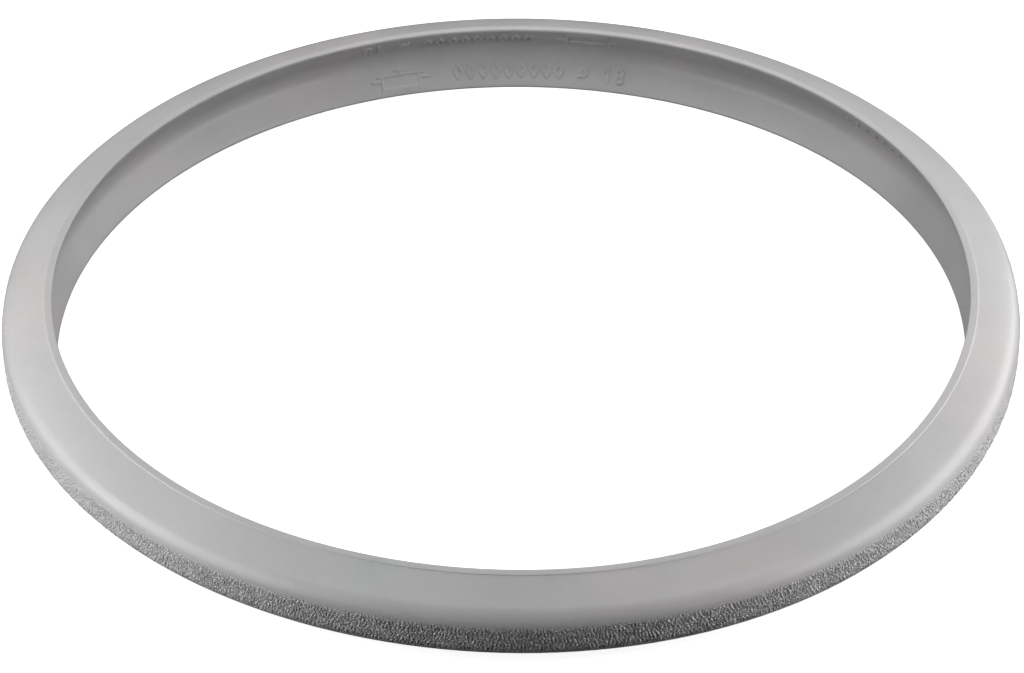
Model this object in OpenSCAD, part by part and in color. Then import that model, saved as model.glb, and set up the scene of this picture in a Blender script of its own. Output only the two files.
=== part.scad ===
// Sealing ring of a stovetop pressure cooker, one moulded piece of silicone rubber.
// It lies on its lower lip: the ring's axis is Z, z = 0 is the lower lip's flat land, and the
// moulded marks are centred on +Y. Both lips are alike, so the ring seals either way up.

/* [Ring] */
// Opening between the lips, which is the inside diameter of the pot
pot_diameter = 180; // [180, 220, 260]
// Radial width of the section, from the lips to the outer wall
section_width = 10; // [9.5:0.25:11]
// Height over both lips
ring_height = 14.8; // [14.4:0.2:16]
// Height of the straight outer wall that seats in the lid
wall_height = 4; // [3.4:0.2:4.6]

/* [Lips] */
// Width of the flat land on the tip of each lip
land_width = 1.6; // [1:0.1:2]
// Height of each land above the flank behind it
land_step = 0.2; // [0.1:0.05:0.4]
// Height of each lip's blunt edge, which faces the opening
lip_edge = 0.5; // [0.3:0.1:0.8]
// Fall of each flank where it leaves its land, in degrees from level
flank_angle = 13; // [10:1:15]
// Length of the straight part of each flank, before the crown bends it down
flank_length = 2; // [1:0.25:2.5]
// Radius between each crown and the outer wall, as far as it fits between them
shoulder_radius = 3.6; // [2.6:0.1:4.2]

/* [Groove] */
// Steepness of both groove walls, in degrees from level
groove_angle = 56; // [54:1:64]
// Radius at the bottom of the groove
groove_radius = 4; // [3:0.25:4.5]

/* [Moulded marks] */
// Height of the figures and of the diamonds beside them
mark_height = 3.4; // [2.6:0.1:3.6]
// Width of the lines that the marks are drawn with
stroke = 0.45; // [0.35:0.05:0.6]
// How far the marks stand out of the groove wall
relief = 0.35; // [0.15:0.05:0.4]
// Number of diamonds in each row
diamond_count = 9; // [3:1:10]

/* [Hidden] */
$fn = 96;

silicone_grey = [0.54, 0.54, 0.54];
lip_r = pot_diameter / 2;
outer_r = lip_r + section_width;
half_height = ring_height / 2;
half_wall = wall_height / 2;

// Outer side, measured from the middle of the ring's height. A shoulder of the largest radius would
// run straight from the flank to the wall. The shoulder stays a little smaller, for the crown.
land_r = lip_r + land_width;
flank_start = [land_r, half_height - land_step];
flank_drop = flank_start.y - half_wall - (outer_r - land_r) * tan(flank_angle);
largest_shoulder = flank_drop / (1 / cos(flank_angle) - tan(flank_angle));
crown_share = 0.04;
shoulder_r = min(shoulder_radius, (1 - crown_share) * largest_shoulder);
shoulder_centre = [outer_r - shoulder_r, half_wall];

// The crown is an arc that touches the end of the flank's straight part and the shoulder, and that
// sets its radius and its centre
flank_inward = [-sin(flank_angle), -cos(flank_angle)];
crown_start = flank_start + flank_length * [cos(flank_angle), -sin(flank_angle)];
crown_reach = crown_start - shoulder_centre;
crown_radius = (crown_reach * crown_reach - pow(shoulder_r, 2))
    / (-2 * (crown_reach * flank_inward + shoulder_r));
crown_centre = crown_start + crown_radius * flank_inward;
shoulder_reach = shoulder_centre - crown_centre;
shoulder_turn = atan2(shoulder_reach.y, shoulder_reach.x);

// Groove. Its straight walls would meet at groove_tip_r, and its round bottom touches both.
half_mouth = half_height - lip_edge;
groove_tip_r = lip_r + half_mouth / tan(groove_angle);
groove_centre_r = groove_tip_r - groove_radius / sin(groove_angle);

// Flat steps that stand for each arc of the section
arc_steps = 10;

// Rows of marks, centred this far up the groove wall from the lip's edge
row_height = 3.3;
row_r = lip_r + row_height * cos(groove_angle);
row_z = row_height * sin(groove_angle) - half_mouth;
mark_sink = 0.3;

// Places along a row, in millimetres to the right of its centre as seen from the ring's axis
pot_sign_x = -20.4;
diamond_row_x = 3.3;
diameter_sign_x = 19.6;
number_x = 26.4;

// Shapes of the marks
line_height = mark_height - stroke;
figure_r = line_height / 4;
figure_pitch = 2.6;
two_tail_angle = 25;
diamond_pitch = 2.75;
diamond_half_width = 0.85;
sign_r = 0.85;
sign_reach = 1;
pot_half_width = 4.2;
pot_half_height = 2;
pot_rim_y = 0.9;
pot_lid_overhang = 0.8;
pot_handle_y = -0.1;
pot_handle_length = 2.2;
pot_knob_half_width = 1;

// The batch pips, a short row by itself on the upper groove wall
pip_count = 7;
pip_pitch = 2.8;
pip_r = 0.6;
pip_row_turn = -57.7;

// Points along an arc, from one angle to another
function arc_points(centre, radius, start, end) = [
    for (i = [0 : arc_steps])
        let (angle = start + (end - start) * i / arc_steps)
        centre + radius * [cos(angle), sin(angle)]
];

// The same points below the middle of the ring, in the order that carries the outline on
function below(points) = [for (i = [len(points) - 1 : -1 : 0]) [points[i].x, -points[i].y]];

// Outer side from the middle up to the lip, then the groove from the lip back to the middle
function upper_outline() = concat(
    arc_points(shoulder_centre, shoulder_r, 0, shoulder_turn),
    arc_points(crown_centre, crown_radius, shoulder_turn, 90 - flank_angle),
    [
        flank_start,
        [land_r, half_height],
        [lip_r, half_height],
        [lip_r, half_mouth]
    ],
    arc_points([groove_centre_r, 0], groove_radius, 90 - groove_angle, 0)
);

module section() {
    polygon(concat(upper_outline(), below(upper_outline())));
}

// A line from one point to another, with square ends half a stroke past each
module line(start, end) {
    run = end - start;
    translate(start) rotate(atan2(run.y, run.x)) translate([-stroke / 2, -stroke / 2])
        square([norm(run) + stroke, stroke]);
}

module loop(centre, radius) {
    translate(centre) difference() {
        circle(radius + stroke / 2);
        circle(radius - stroke / 2);
    }
}

// The part of a loop that runs anticlockwise from one angle to another
module arc(centre, radius, start, end) {
    intersection() {
        loop(centre, radius);
        polygon(concat([centre], arc_points(centre, 2 * radius, start, end)));
    }
}

// The figures that the pot sizes need
module figure(value) {
    top = line_height / 2;
    bowl = top - figure_r;
    tail = figure_r * [cos(two_tail_angle), -sin(two_tail_angle)];
    if (value == 1) {
        line([0, -top], [0, top]);
        line([0, top], [-figure_r, bowl]);
    } else if (value == 2) {
        arc([0, bowl], figure_r, -two_tail_angle, 180);
        line([0, bowl] + tail, [-figure_r, -top]);
        line([-figure_r, -top], [figure_r, -top]);
    } else if (value == 6) {
        loop([0, -bowl], figure_r);
        line([-figure_r, -bowl], [figure_r / 2, top]);
    } else if (value == 8) {
        loop([0, -bowl], figure_r);
        loop([0, bowl], figure_r);
    }
}

// The pot's diameter in centimetres
module number() {
    centimetres = pot_diameter / 10;
    translate([-figure_pitch / 2, 0]) figure(floor(centimetres / 10));
    translate([figure_pitch / 2, 0]) figure(centimetres % 10);
}

module diameter_sign() {
    loop([0, 0], sign_r);
    line([-sign_reach, -sign_reach], [sign_reach, sign_reach]);
}

module diamond() {
    top = line_height / 2;
    for (side = [-1, 1]) {
        line([0, -top], [side * diamond_half_width, 0]);
        line([side * diamond_half_width, 0], [0, top]);
    }
}

// A plain outline of a lidded pot, for the pot that the ring fits
module pot_sign() {
    line([-pot_half_width, -pot_half_height], [pot_half_width, -pot_half_height]);
    for (side = [-1, 1]) {
        line([side * pot_half_width, -pot_half_height], [side * pot_half_width, pot_rim_y]);
        line([side * pot_half_width, pot_handle_y],
            [side * (pot_half_width + pot_handle_length), pot_handle_y]);
    }
    line([-pot_half_width - pot_lid_overhang, pot_rim_y], [pot_half_width + pot_lid_overhang, pot_rim_y]);
    line([0, pot_rim_y], [0, pot_half_height]);
    line([-pot_knob_half_width, pot_half_height], [pot_knob_half_width, pot_half_height]);
}

// Stands a flat mark on the lower groove wall, x millimetres to the right of the row's centre
module on_lower_wall(x) {
    turn = x / row_r * 180 / PI;
    rotate([0, 0, 90 - turn]) translate([row_r, 0, row_z])
        rotate([0, -groove_angle, 0]) rotate([0, 0, -90])
            translate([0, 0, -mark_sink]) linear_extrude(mark_sink + relief) children();
}

module mark_row() {
    on_lower_wall(pot_sign_x) pot_sign();
    for (i = [0 : diamond_count - 1]) {
        on_lower_wall(diamond_row_x + (i - (diamond_count - 1) / 2) * diamond_pitch) diamond();
    }
    on_lower_wall(diameter_sign_x) diameter_sign();
    on_lower_wall(number_x) number();
}

module pip_row() {
    for (i = [0 : pip_count - 1]) {
        on_lower_wall((i - (pip_count - 1) / 2) * pip_pitch) circle(pip_r);
    }
}

// Turned over about Y, the ring is the same again, apart from the pips
module sealing_ring() {
    color(silicone_grey) translate([0, 0, half_height]) {
        rotate_extrude() section();
        mark_row();
        rotate([0, 180, 0]) mark_row();
        rotate([0, 0, pip_row_turn]) rotate([0, 180, 0]) pip_row();
    }
}

sealing_ring();
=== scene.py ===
"""A grey silicone sealing ring for a pressure cooker, lying on a pale floor.

The ring is one mesh: rows of points follow its section, and each row goes once round. The rows lie
close together where the moulding has detail: the crinkled grip of the outer wall and the raised
marks on the two groove walls. Angles round the ring are in radians, anticlockwise from +X.
"""
import math

import bpy
import numpy as np
from mathutils import Matrix, Vector


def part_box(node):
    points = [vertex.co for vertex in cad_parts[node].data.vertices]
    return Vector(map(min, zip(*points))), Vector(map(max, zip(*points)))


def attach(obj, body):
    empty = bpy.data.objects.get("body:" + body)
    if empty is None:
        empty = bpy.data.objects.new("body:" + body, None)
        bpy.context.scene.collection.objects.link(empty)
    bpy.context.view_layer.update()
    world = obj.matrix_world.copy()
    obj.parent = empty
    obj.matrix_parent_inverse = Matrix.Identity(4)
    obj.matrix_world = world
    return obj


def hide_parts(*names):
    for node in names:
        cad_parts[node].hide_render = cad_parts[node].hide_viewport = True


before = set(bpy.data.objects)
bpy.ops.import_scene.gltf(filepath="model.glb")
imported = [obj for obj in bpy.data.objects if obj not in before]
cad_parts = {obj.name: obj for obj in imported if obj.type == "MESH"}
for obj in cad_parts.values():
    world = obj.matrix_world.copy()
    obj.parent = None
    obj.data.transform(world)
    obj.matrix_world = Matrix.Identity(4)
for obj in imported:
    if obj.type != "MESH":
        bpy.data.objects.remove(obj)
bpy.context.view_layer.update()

MM = 0.001
FULL_TURN = 2 * math.pi

# The ring's section, as the CAD has it. Heights in the section are from the middle of the ring.
ring_low, ring_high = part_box("sealing_ring")
OUTER_R = ring_high.x
MIDDLE = (ring_low.z + ring_high.z) / 2
HALF_HEIGHT = ring_high.z - MIDDLE
SECTION_WIDTH = 10 * MM
LIP_R = OUTER_R - SECTION_WIDTH
HALF_WALL = 2 * MM
SHOULDER_R = 3.6 * MM
LAND_WIDTH = 1.6 * MM
LAND_STEP = 0.2 * MM
LIP_EDGE = 0.5 * MM
FLANK_ANGLE = math.radians(13)
FLANK_LENGTH = 2 * MM
GROOVE_ANGLE = math.radians(56)
GROOVE_R = 4 * MM

# How the moulding softens the section's corners
LIP_ROUND = 0.18 * MM
LAND_ROUND = 0.1 * MM
STEP_ROUND = 0.08 * MM

# How far apart the rows of points are, and how many points a row has
SMOOTH_ROW = 0.6 * MM
CORNER_ROW = 0.06 * MM
MARK_ROW = 0.18 * MM
GRIP_ROW = 0.28 * MM
SMOOTH_COLUMNS = 180
GRIP_COLUMNS = 2640

# The ring is soft and lies a little out of round: lobes, share of the radius, and a lobe's angle
FLEX = [
    (2, 0.0028, math.radians(-47.4)),
    (3, 0.0043, math.radians(52.2)),
    (4, 0.0024, math.radians(26.6)),
]

# The crinkled grip on the outer side, with distances up that side from the middle of the wall
GRIP_TOP = 2.4 * MM
GRIP_BOTTOM = -3.7 * MM
GRIP_TOP_FADE = 1.3 * MM
GRIP_BOTTOM_FADE = 0.5 * MM
GRIP_PITCH = 0.62 * MM
GRIP_PITCH_SPREAD = 0.25
GRIP_SLANT = math.radians(50)
GRIP_DEPTH = 0.22 * MM
GRIP_SEED = 18

# The two rows of raised marks, as the CAD has them
MARK_RELIEF = 0.35 * MM
ROW_HEIGHT = 3.3 * MM
ROW_HALF_WIDTH = 2 * MM
ROW_HALF_LENGTH = 31 * MM
MARKS_AT = math.pi / 2
PIPS_AT = math.radians(32.3)
PIP_COUNT = 7

# The marks' shapes and places in their row, drawn in millimetres
MARK_SOFTNESS = 0.1
STROKE = 0.45
LINE_HEIGHT = 3.4 - STROKE
POT_SIGN_X = -20.4
DIAMONDS_X = 3.3
DIAMOND_COUNT = 9
DIAMOND_PITCH = 2.75
DIAMOND_HALF_WIDTH = 0.85
DIAMETER_SIGN_X = 19.6
DIAMETER_SIGN_R = 0.85
FIGURE_ONE_X = 25.1
FIGURE_EIGHT_X = 27.7
PIP_PITCH = 2.8
PIP_R = 0.6


# ---- The section ----

def direction(angle):
    return np.array([math.cos(angle), math.sin(angle)])


def arc(centre, radius, start, end, spacing):
    """Points of the section along an arc, from one angle to another."""
    steps = max(2, math.ceil(abs(end - start) * radius / spacing))
    return np.array([centre + radius * direction(a) for a in np.linspace(start, end, steps + 1)])


def between(start, end, spacing):
    """Points of the section along a line, without its ends."""
    steps = max(2, math.ceil(np.linalg.norm(end - start) / spacing))
    return start + (end - start) * np.arange(1, steps)[:, None] / steps


def rounded(before, corner, after, radius):
    """Points round one corner of the section, between the corners before and after it."""
    back = (before - corner) / np.linalg.norm(before - corner)
    ahead = (after - corner) / np.linalg.norm(after - corner)
    half = math.acos(back @ ahead) / 2
    centre = corner + (back + ahead) / np.linalg.norm(back + ahead) * radius / math.sin(half)
    first = corner + back * radius / math.tan(half) - centre
    last = corner + ahead * radius / math.tan(half) - centre
    start = math.atan2(first[1], first[0])
    turn = math.atan2(first[0] * last[1] - first[1] * last[0], first @ last)
    return arc(centre, radius, start, start + turn, CORNER_ROW)


shoulder_centre = np.array([OUTER_R - SHOULDER_R, HALF_WALL])
lip_top = np.array([LIP_R, HALF_HEIGHT])
lip_bottom = np.array([LIP_R, HALF_HEIGHT - LIP_EDGE])
groove_tip = LIP_R + (HALF_HEIGHT - LIP_EDGE) / math.tan(GROOVE_ANGLE)
groove_centre = np.array([groove_tip - GROOVE_R / math.sin(GROOVE_ANGLE), 0])
groove_wall_top = groove_centre + GROOVE_R * direction(math.pi / 2 - GROOVE_ANGLE)
up_groove_wall = (groove_wall_top - lip_bottom) / np.linalg.norm(groove_wall_top - lip_bottom)


def crown():
    """The arc from the shoulder to the flank: its centre, radius, and where the shoulder ends."""
    flank_start = np.array([LIP_R + LAND_WIDTH, HALF_HEIGHT - LAND_STEP])
    inward = -direction(math.pi / 2 - FLANK_ANGLE)
    start = flank_start + FLANK_LENGTH * direction(-FLANK_ANGLE)
    reach = start - shoulder_centre
    radius = (reach @ reach - SHOULDER_R**2) / (-2 * (reach @ inward + SHOULDER_R))
    centre = start + radius * inward
    turn = math.atan2(*(shoulder_centre - centre)[::-1])
    return centre, radius, turn


def lip_side(shoulder_start):
    """The section from an angle on the shoulder, over the lip, to the start of the groove wall."""
    centre, radius, turn = crown()
    flank_end = centre + radius * direction(math.pi / 2 - FLANK_ANGLE)
    step_foot = np.array([LIP_R + LAND_WIDTH, HALF_HEIGHT - LAND_STEP])
    step_top = np.array([LIP_R + LAND_WIDTH, HALF_HEIGHT])
    return np.concatenate([
        arc(shoulder_centre, SHOULDER_R, shoulder_start, turn, SMOOTH_ROW),
        arc(centre, radius, turn, math.pi / 2 - FLANK_ANGLE, SMOOTH_ROW)[1:],
        between(flank_end, step_foot, SMOOTH_ROW),
        rounded(flank_end, step_foot, step_top, STEP_ROUND),
        rounded(step_foot, step_top, lip_top, LAND_ROUND),
        between(step_top, lip_top, SMOOTH_ROW),
        rounded(step_top, lip_top, lip_bottom, LIP_ROUND),
        rounded(lip_top, lip_bottom, groove_wall_top, LIP_ROUND),
    ])


def groove_wall():
    """The groove wall from the lip to the groove's round bottom, close together at the marks."""
    near = lip_bottom + up_groove_wall * (ROW_HEIGHT - ROW_HALF_WIDTH)
    far = lip_bottom + up_groove_wall * (ROW_HEIGHT + ROW_HALF_WIDTH)
    return np.concatenate([[near], between(near, far, MARK_ROW), [far]])


grip_distances = np.arange(GRIP_BOTTOM, GRIP_TOP, GRIP_ROW)


def shoulder_angle(distance):
    """How far round the shoulder a distance from the middle of the wall reaches, up or down."""
    return max(0, abs(distance) - HALF_WALL) / SHOULDER_R


def grip_point(distance):
    """The section's point at a distance up the outer side from the middle of the wall."""
    if abs(distance) <= HALF_WALL:
        return np.array([OUTER_R, distance])
    side = [1, math.copysign(1, distance)]
    return (shoulder_centre + SHOULDER_R * direction(shoulder_angle(distance))) * side


def mirrored(points):
    """The same points below the middle, in the order that carries the section on."""
    return (points * [1, -1])[::-1]


# ---- The raised marks ----

def arc_line(centre, radius, start, end):
    return np.array([centre + radius * direction(a) for a in np.radians(np.linspace(start, end, 25))])


def loop(centre, radius):
    return arc_line(centre, radius, 0, 360)


def figure_one():
    top = LINE_HEIGHT / 2
    return [[(0, -top), (0, top), (-LINE_HEIGHT / 4, LINE_HEIGHT / 4)]]


def figure_eight():
    bowl = LINE_HEIGHT / 4
    return [loop(np.array([0, side * bowl]), bowl) for side in (-1, 1)]


def diameter_sign():
    return [loop(np.zeros(2), DIAMETER_SIGN_R), [(-1, -1), (1, 1)]]


def diamond():
    top = LINE_HEIGHT / 2
    side = DIAMOND_HALF_WIDTH
    return [[(0, -top), (side, 0), (0, top), (-side, 0), (0, -top)]]


def pot_sign():
    """A plain outline of a lidded pot."""
    return [
        [(-4.2, 0.9), (-4.2, -2), (4.2, -2), (4.2, 0.9)],
        [(-5, 0.9), (5, 0.9)],
        [(0, 0.9), (0, 2)],
        [(-1, 2), (1, 2)],
        [(-4.2, -0.1), (-6.4, -0.1)],
        [(4.2, -0.1), (6.4, -0.1)],
    ]


def moved(lines, x):
    return [np.array(line) + [x, 0] for line in lines]


def mark_row():
    """Every line of a row of marks, with x to the right of the row's middle and y up the wall."""
    lines = moved(pot_sign(), POT_SIGN_X)
    for i in range(DIAMOND_COUNT):
        lines += moved(diamond(), DIAMONDS_X + (i - (DIAMOND_COUNT - 1) / 2) * DIAMOND_PITCH)
    lines += moved(diameter_sign(), DIAMETER_SIGN_X)
    lines += moved(figure_one(), FIGURE_ONE_X)
    lines += moved(figure_eight(), FIGURE_EIGHT_X)
    return lines


def distance_to(lines, x, y):
    """The distance from each point to the nearest of the lines."""
    nearest = np.full(x.shape, np.inf)
    for line in lines:
        for start, end in zip(line[:-1], line[1:]):
            run = end - start
            share = ((x - start[0]) * run[0] + (y - start[1]) * run[1]) / (run @ run)
            share = np.clip(share, 0, 1)
            gap = np.hypot(x - start[0] - share * run[0], y - start[1] - share * run[1])
            nearest = np.minimum(nearest, gap)
    return nearest


def relief(distance, half_width):
    """The height of a mark at a distance from its middle line, with a soft edge."""
    share = np.clip((half_width - distance) / MARK_SOFTNESS + 0.5, 0, 1)
    return MARK_RELIEF * share * share * (3 - 2 * share)


def marks_height(point, angles, upper):
    """How far the marks stand out of the groove wall along one row of points."""
    side = 1 if upper else -1
    row_r = LIP_R + up_groove_wall[0] * ROW_HEIGHT
    height = (np.linalg.norm(point * [1, side] - lip_bottom) - ROW_HEIGHT) / MM
    x = side * (angles - MARKS_AT) * row_r / MM
    y = np.full(x.shape, height)
    lift = relief(distance_to(mark_row(), x, y), STROKE / 2)
    if upper:
        for i in range(PIP_COUNT):
            pip_x = (angles - PIPS_AT) * row_r / MM - (i - (PIP_COUNT - 1) / 2) * PIP_PITCH
            lift = np.maximum(lift, relief(np.hypot(pip_x, y), PIP_R))
    return lift


# ---- The crinkled grip ----

def grip_pattern(rows, columns):
    """Seeded noise with one pitch and mostly upright ridges, as a grid that closes on itself."""
    noise = np.random.default_rng(GRIP_SEED).standard_normal((rows, columns))
    across = np.fft.fftfreq(columns, FULL_TURN * OUTER_R / columns)
    along = np.fft.fftfreq(rows, GRIP_ROW)
    across, along = np.meshgrid(across, along)
    pitch_error = (np.hypot(across, along) * GRIP_PITCH - 1) / GRIP_PITCH_SPREAD
    slant_error = np.arctan2(np.abs(along), np.abs(across)) / GRIP_SLANT
    kept = np.exp(-pitch_error**2 / 2 - slant_error**4)
    pattern = np.fft.ifft2(np.fft.fft2(noise) * kept).real
    return np.tanh(pattern / pattern.std())


def smooth_step(value):
    share = np.clip(value, 0, 1)
    return share * share * (3 - 2 * share)


def grip_strength(distance):
    """From 0 to 1, how deep the grip is at a distance up the wall from its middle."""
    top = smooth_step((GRIP_TOP - distance) / GRIP_TOP_FADE)
    bottom = smooth_step((distance - GRIP_BOTTOM) / GRIP_BOTTOM_FADE)
    return top * bottom


# ---- The mesh ----

def even_angles(count, offset=0):
    return (np.arange(count) + offset) * FULL_TURN / count


def mark_angles(zones):
    """Angles that lie close together in each zone, a middle and a half length, and far apart outside."""
    row_r = LIP_R + up_groove_wall[0] * ROW_HEIGHT
    angles = even_angles(SMOOTH_COLUMNS)
    for middle, half_length in zones:
        half_turn = half_length / row_r
        angles = angles[abs(angles - middle) > half_turn]
        count = math.ceil(2 * half_length / MARK_ROW)
        angles = np.append(angles, middle + np.linspace(-half_turn, half_turn, count))
    return np.sort(angles)


def ring_rows():
    """Every row of the mesh in order round the section: place, angles, lift, and grip strength."""
    rows = []

    def add(points, angles, lift=None):
        for point in points:
            rows.append((point, angles, np.zeros(len(angles)) if lift is None else lift(point), 0))

    pattern = grip_pattern(len(grip_distances), 2 * GRIP_COLUMNS)
    for i, distance in enumerate(grip_distances):
        strength = grip_strength(distance)
        offset = i % 2
        lift = GRIP_DEPTH * strength * pattern[i, offset::2]
        rows.append((grip_point(distance), even_angles(GRIP_COLUMNS, offset / 2), lift, strength))
    smooth = even_angles(SMOOTH_COLUMNS)
    upper = mark_angles([(MARKS_AT, ROW_HALF_LENGTH), (PIPS_AT, PIP_COUNT * PIP_PITCH * MM / 2)])
    lower = mark_angles([(MARKS_AT, ROW_HALF_LENGTH)])
    add(lip_side(shoulder_angle(grip_distances[-1] + GRIP_ROW)), smooth)
    add(groove_wall(), upper, lambda point: marks_height(point, upper, True))
    half_mouth_turn = math.pi / 2 - GROOVE_ANGLE
    add(arc(groove_centre, GROOVE_R, half_mouth_turn, -half_mouth_turn, SMOOTH_ROW), smooth)
    add(mirrored(groove_wall()), lower, lambda point: marks_height(point, lower, False))
    add(mirrored(lip_side(shoulder_angle(grip_distances[0] - GRIP_ROW))), smooth)
    return rows


def flexed(angles):
    """How far out of round the ring lies at each angle, as a share of its radius."""
    return 1 + sum(size * np.cos(lobes * (angles - lobe_at)) for lobes, size, lobe_at in FLEX)


def zipped(angles_a, first_a, angles_b, first_b):
    """Triangles between two rows of points that start near the same angle."""
    def middles(angles):
        return (angles + np.append(angles[1:], angles[0] + FULL_TURN)) / 2
    count_a, count_b = len(angles_a), len(angles_b)
    a, b = np.arange(count_a), np.arange(count_b)
    b_at_a = np.searchsorted(middles(angles_b), middles(angles_a), side="left") % count_b
    a_at_b = np.searchsorted(middles(angles_a), middles(angles_b), side="right") % count_a
    from_a = np.stack([first_a + a, first_a + (a + 1) % count_a, first_b + b_at_a], axis=1)
    from_b = np.stack([first_b + b, first_a + a_at_b, first_b + (b + 1) % count_b], axis=1)
    return np.concatenate([from_a, from_b])


def ring_mesh():
    rows = ring_rows()
    places = np.array([row[0] for row in rows])
    along = np.roll(places, -1, axis=0) - np.roll(places, 1, axis=0)
    normals = np.stack([along[:, 1], -along[:, 0]], axis=1) / np.linalg.norm(along, axis=1)[:, None]
    points, faces, grips, firsts = [], [], [], [0]
    for (place, angles, lift, grip), normal in zip(rows, normals):
        radius = (place[0] + normal[0] * lift) * flexed(angles)
        height = MIDDLE + place[1] + normal[1] * lift
        points.append(np.stack([radius * np.cos(angles), radius * np.sin(angles), height], axis=1))
        grips.append(np.full(len(angles), grip))
        firsts.append(firsts[-1] + len(angles))
    for i, (_, angles, _, _) in enumerate(rows):
        j = (i + 1) % len(rows)
        faces.append(zipped(angles, firsts[i], rows[j][1], firsts[j]))
    mesh = bpy.data.meshes.new("sealing_ring_skin")
    mesh.from_pydata(np.concatenate(points).tolist(), [], np.concatenate(faces).tolist())
    mesh.shade_smooth()
    mesh.attributes.new("grip", "FLOAT", "POINT").data.foreach_set("value", np.concatenate(grips))
    return mesh


# ---- Materials ----

class Nodes:
    """Makes shader nodes with few words: sockets are set from numbers or from other sockets."""

    def __init__(self, material):
        material.use_nodes = True
        self.tree = material.node_tree
        self.tree.nodes.clear()

    def add(self, kind, settings=None, **inputs):
        node = self.tree.nodes.new(kind)
        for name, value in (settings or {}).items():
            setattr(node, name, value)
        for name, value in inputs.items():
            socket = node.inputs[int(name[1:]) if name[1:].isdigit() else name.replace("_", " ")]
            if isinstance(value, bpy.types.NodeSocket):
                self.tree.links.new(value, socket)
            else:
                socket.default_value = value
        return node

    def maths(self, operation, *values):
        inputs = {f"_{i}": value for i, value in enumerate(values)}
        return self.add("ShaderNodeMath", {"operation": operation}, **inputs).outputs[0]

    def noise(self, place, scale, detail, roughness=0.5):
        """Noise whose blotches are about one part in scale of a metre across."""
        settings = {"noise_dimensions": "3D"}
        return self.add("ShaderNodeTexNoise", settings, Vector=place, Scale=scale, Detail=detail,
                        Roughness=roughness).outputs["Fac"]

    def ranged(self, value, low, high):
        """A value from 0.3 to 0.7, which is where noise mostly lies, spread from low to high."""
        return self.add("ShaderNodeMapRange", None, Value=value, From_Min=0.3, From_Max=0.7,
                        To_Min=low, To_Max=high).outputs["Result"]

    def bump(self, height, distance, strength, normal=None):
        inputs = {"Height": height, "Distance": distance, "Strength": strength}
        if normal is not None:
            inputs["Normal"] = normal
        return self.add("ShaderNodeBump", None, **inputs).outputs["Normal"]


# The silicone's grey, how far its cloud, its specks and its warm blotches change it, and how much
# painted light lifts the grip's grey, in place of light on the shade its crinkle gives. The crinkle and
# the grain are depths of bump.
SILICONE_GREY = 0.54
SILICONE_MOTTLE = 0.04
SILICONE_SPECK = 0.016
SILICONE_WARMTH = 0.02
SILICONE_IOR = 1.43
GRIP_PAINTED_LIGHT = 0.16
GRIP_CRINKLE = 0.6 * MM
GRAIN_DEPTH = 0.004 * MM
GRAIN_STRENGTH = 0.6


def silicone():
    """Satin grey silicone: faint mottling and warm blotches, uneven gloss, and a crinkled grip made paler
    with painted light.
    """
    material = bpy.data.materials.new("silicone")
    nodes = Nodes(material)
    place = nodes.add("ShaderNodeTexCoord").outputs["Object"]
    grip = nodes.add("ShaderNodeAttribute", {"attribute_name": "grip"}).outputs["Fac"]
    cloud = nodes.noise(place, 60, 4)
    blotch = nodes.noise(place, 28, 2)
    speck = nodes.noise(place, 900, 2)
    grain = nodes.noise(place, 3500, 3, 0.6)
    crinkle = nodes.noise(place, 2800, 1)
    mottled = nodes.ranged(cloud, SILICONE_GREY - SILICONE_MOTTLE / 2, SILICONE_GREY + SILICONE_MOTTLE / 2)
    specked = nodes.maths("ADD", mottled, nodes.ranged(speck, -SILICONE_SPECK / 2, SILICONE_SPECK / 2))
    # Painted light: the grip's grey is raised, standing in for light on the shade its crinkle gives.
    grey_and_painted_light = nodes.maths("MULTIPLY_ADD", grip, GRIP_PAINTED_LIGHT, specked)
    red = nodes.maths("ADD", grey_and_painted_light, nodes.ranged(blotch, -SILICONE_WARMTH / 2, SILICONE_WARMTH))
    colour = nodes.add("ShaderNodeCombineColor", None, Red=red, Green=grey_and_painted_light, Blue=grey_and_painted_light).outputs[0]
    gloss = nodes.ranged(cloud, 0.3, 0.36)
    crinkled = nodes.bump(crinkle, GRIP_CRINKLE, grip)
    grained = nodes.bump(grain, GRAIN_DEPTH, GRAIN_STRENGTH, crinkled)
    shader = nodes.add("ShaderNodeBsdfPrincipled", None, Base_Color=colour, Roughness=gloss,
                       IOR=SILICONE_IOR, Normal=grained)
    nodes.add("ShaderNodeOutputMaterial", None, Surface=shader.outputs["BSDF"])
    return material


def floor_paper():
    """A pale floor that stays almost white, with only a faint shadow."""
    material = bpy.data.materials.new("floor_paper")
    nodes = Nodes(material)
    place = nodes.add("ShaderNodeTexCoord").outputs["Object"]
    tone = nodes.ranged(nodes.noise(place, 3, 2), 0.84, 0.86)
    colour = nodes.add("ShaderNodeCombineColor", None, Red=tone, Green=tone, Blue=tone).outputs[0]
    shader = nodes.add("ShaderNodeBsdfPrincipled", None, Base_Color=colour, Roughness=0.9,
                       Emission_Color=(1, 1, 1, 1), Emission_Strength=0.85)
    nodes.add("ShaderNodeOutputMaterial", None, Surface=shader.outputs["BSDF"])
    return material


# ---- The ring ----

ring = bpy.data.objects.new("sealing_ring_skin", ring_mesh())
bpy.context.scene.collection.objects.link(ring)
ring.data.materials.append(silicone())
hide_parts("sealing_ring")
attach(ring, "root")


# ---- Floor, lights and camera ----

FLOOR_SIZE = 12

floor_mesh = bpy.data.meshes.new("floor")
half = FLOOR_SIZE / 2
floor_corners = [(-half, -half, 0), (half, -half, 0), (half, half, 0), (-half, half, 0)]
floor_mesh.from_pydata(floor_corners, [], [(0, 1, 2, 3)])
floor = bpy.data.objects.new("floor", floor_mesh)
bpy.context.scene.collection.objects.link(floor)
floor.data.materials.append(floor_paper())
floor.visible_diffuse = False
floor.visible_glossy = False

RING_CENTRE = Vector((0, 0, MIDDLE))
CAMERA_HEADING = math.radians(87.6)


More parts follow.
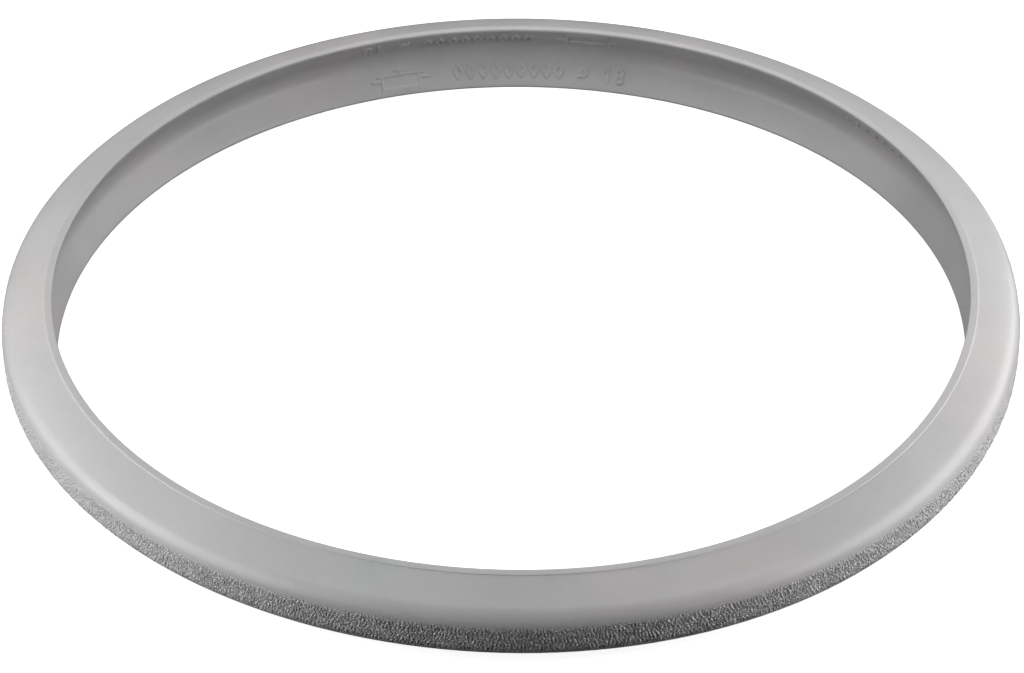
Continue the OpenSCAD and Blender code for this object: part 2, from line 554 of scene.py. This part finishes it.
def softbox(name, bearing, elevation, distance, width, height, power):
    """A rectangular light aimed at the ring. Bearing 0 is beyond the ring, and 90 is to its right."""
    heading = CAMERA_HEADING - math.radians(bearing)
    rise = math.radians(elevation)
    away = Vector((math.cos(heading) * math.cos(rise),
                   math.sin(heading) * math.cos(rise), math.sin(rise)))
    light = bpy.data.lights.new(name, "AREA")
    light.shape = "RECTANGLE"
    light.size = width
    light.size_y = height
    light.energy = power
    holder = bpy.data.objects.new(name, light)
    facing = away.to_track_quat("Z", "Y").to_matrix().to_4x4()
    holder.matrix_world = Matrix.Translation(RING_CENTRE + away * distance) @ facing
    holder.visible_camera = False
    bpy.context.scene.collection.objects.link(holder)


softbox("overhead", 180, 84, 1.2, 1.4, 0.25, 2.8)
softbox("right_high", 120, 58, 1.2, 0.65, 0.55, 2.2)
softbox("back", 20, 32, 0.4, 0.35, 0.2, 0.42)
softbox("right", 90, 12, 0.27, 0.5, 0.15, 0.62)
softbox("right_near", 120, 12, 0.27, 0.22, 0.18, 0.1)
softbox("left", -90, 12, 0.42, 0.3, 0.24, 0.44)
softbox("left_near", -120, 12, 0.27, 0.22, 0.18, 0.34)
softbox("left_far", -60, 38, 0.27, 0.22, 0.18, 0.16)

WORLD_STRENGTH = 0.01

world = bpy.data.worlds.new("studio")
world.use_nodes = True
background = world.node_tree.nodes["Background"]
background.inputs["Color"].default_value = (1, 1, 1, 1)
background.inputs["Strength"].default_value = WORLD_STRENGTH
bpy.context.scene.world = world
bpy.context.scene.view_settings.view_transform = "Standard"

CAMERA_ELEVATION = math.radians(36.2)
CAMERA_DISTANCE = 0.7646
CAMERA_ROLL = math.radians(-0.46)
CAMERA_LENS = 136
AIM_RIGHT = -0.23 * MM
AIM_UP = -6.45 * MM


def make_camera():
    """The camera looks down at the ring from its near side, aimed a little below the ring's centre."""
    ahead = Vector((math.cos(CAMERA_HEADING) * math.cos(CAMERA_ELEVATION),
                    math.sin(CAMERA_HEADING) * math.cos(CAMERA_ELEVATION), -math.sin(CAMERA_ELEVATION)))
    right = ahead.cross(Vector((0, 0, 1))).normalized()
    place = RING_CENTRE - ahead * CAMERA_DISTANCE
    aim = RING_CENTRE + right * AIM_RIGHT + right.cross(ahead) * AIM_UP
    lens = bpy.data.cameras.new("camera")
    lens.lens = CAMERA_LENS
    lens.sensor_width = 36
    lens.clip_start = 0.05
    lens.clip_end = 50
    camera = bpy.data.objects.new("camera", lens)
    facing = (place - aim).to_track_quat("Z", "Y").to_matrix().to_4x4()
    camera.matrix_world = Matrix.Translation(place) @ facing @ Matrix.Rotation(CAMERA_ROLL, 4, "Z")
    bpy.context.scene.collection.objects.link(camera)
    bpy.context.scene.camera = camera


make_camera()
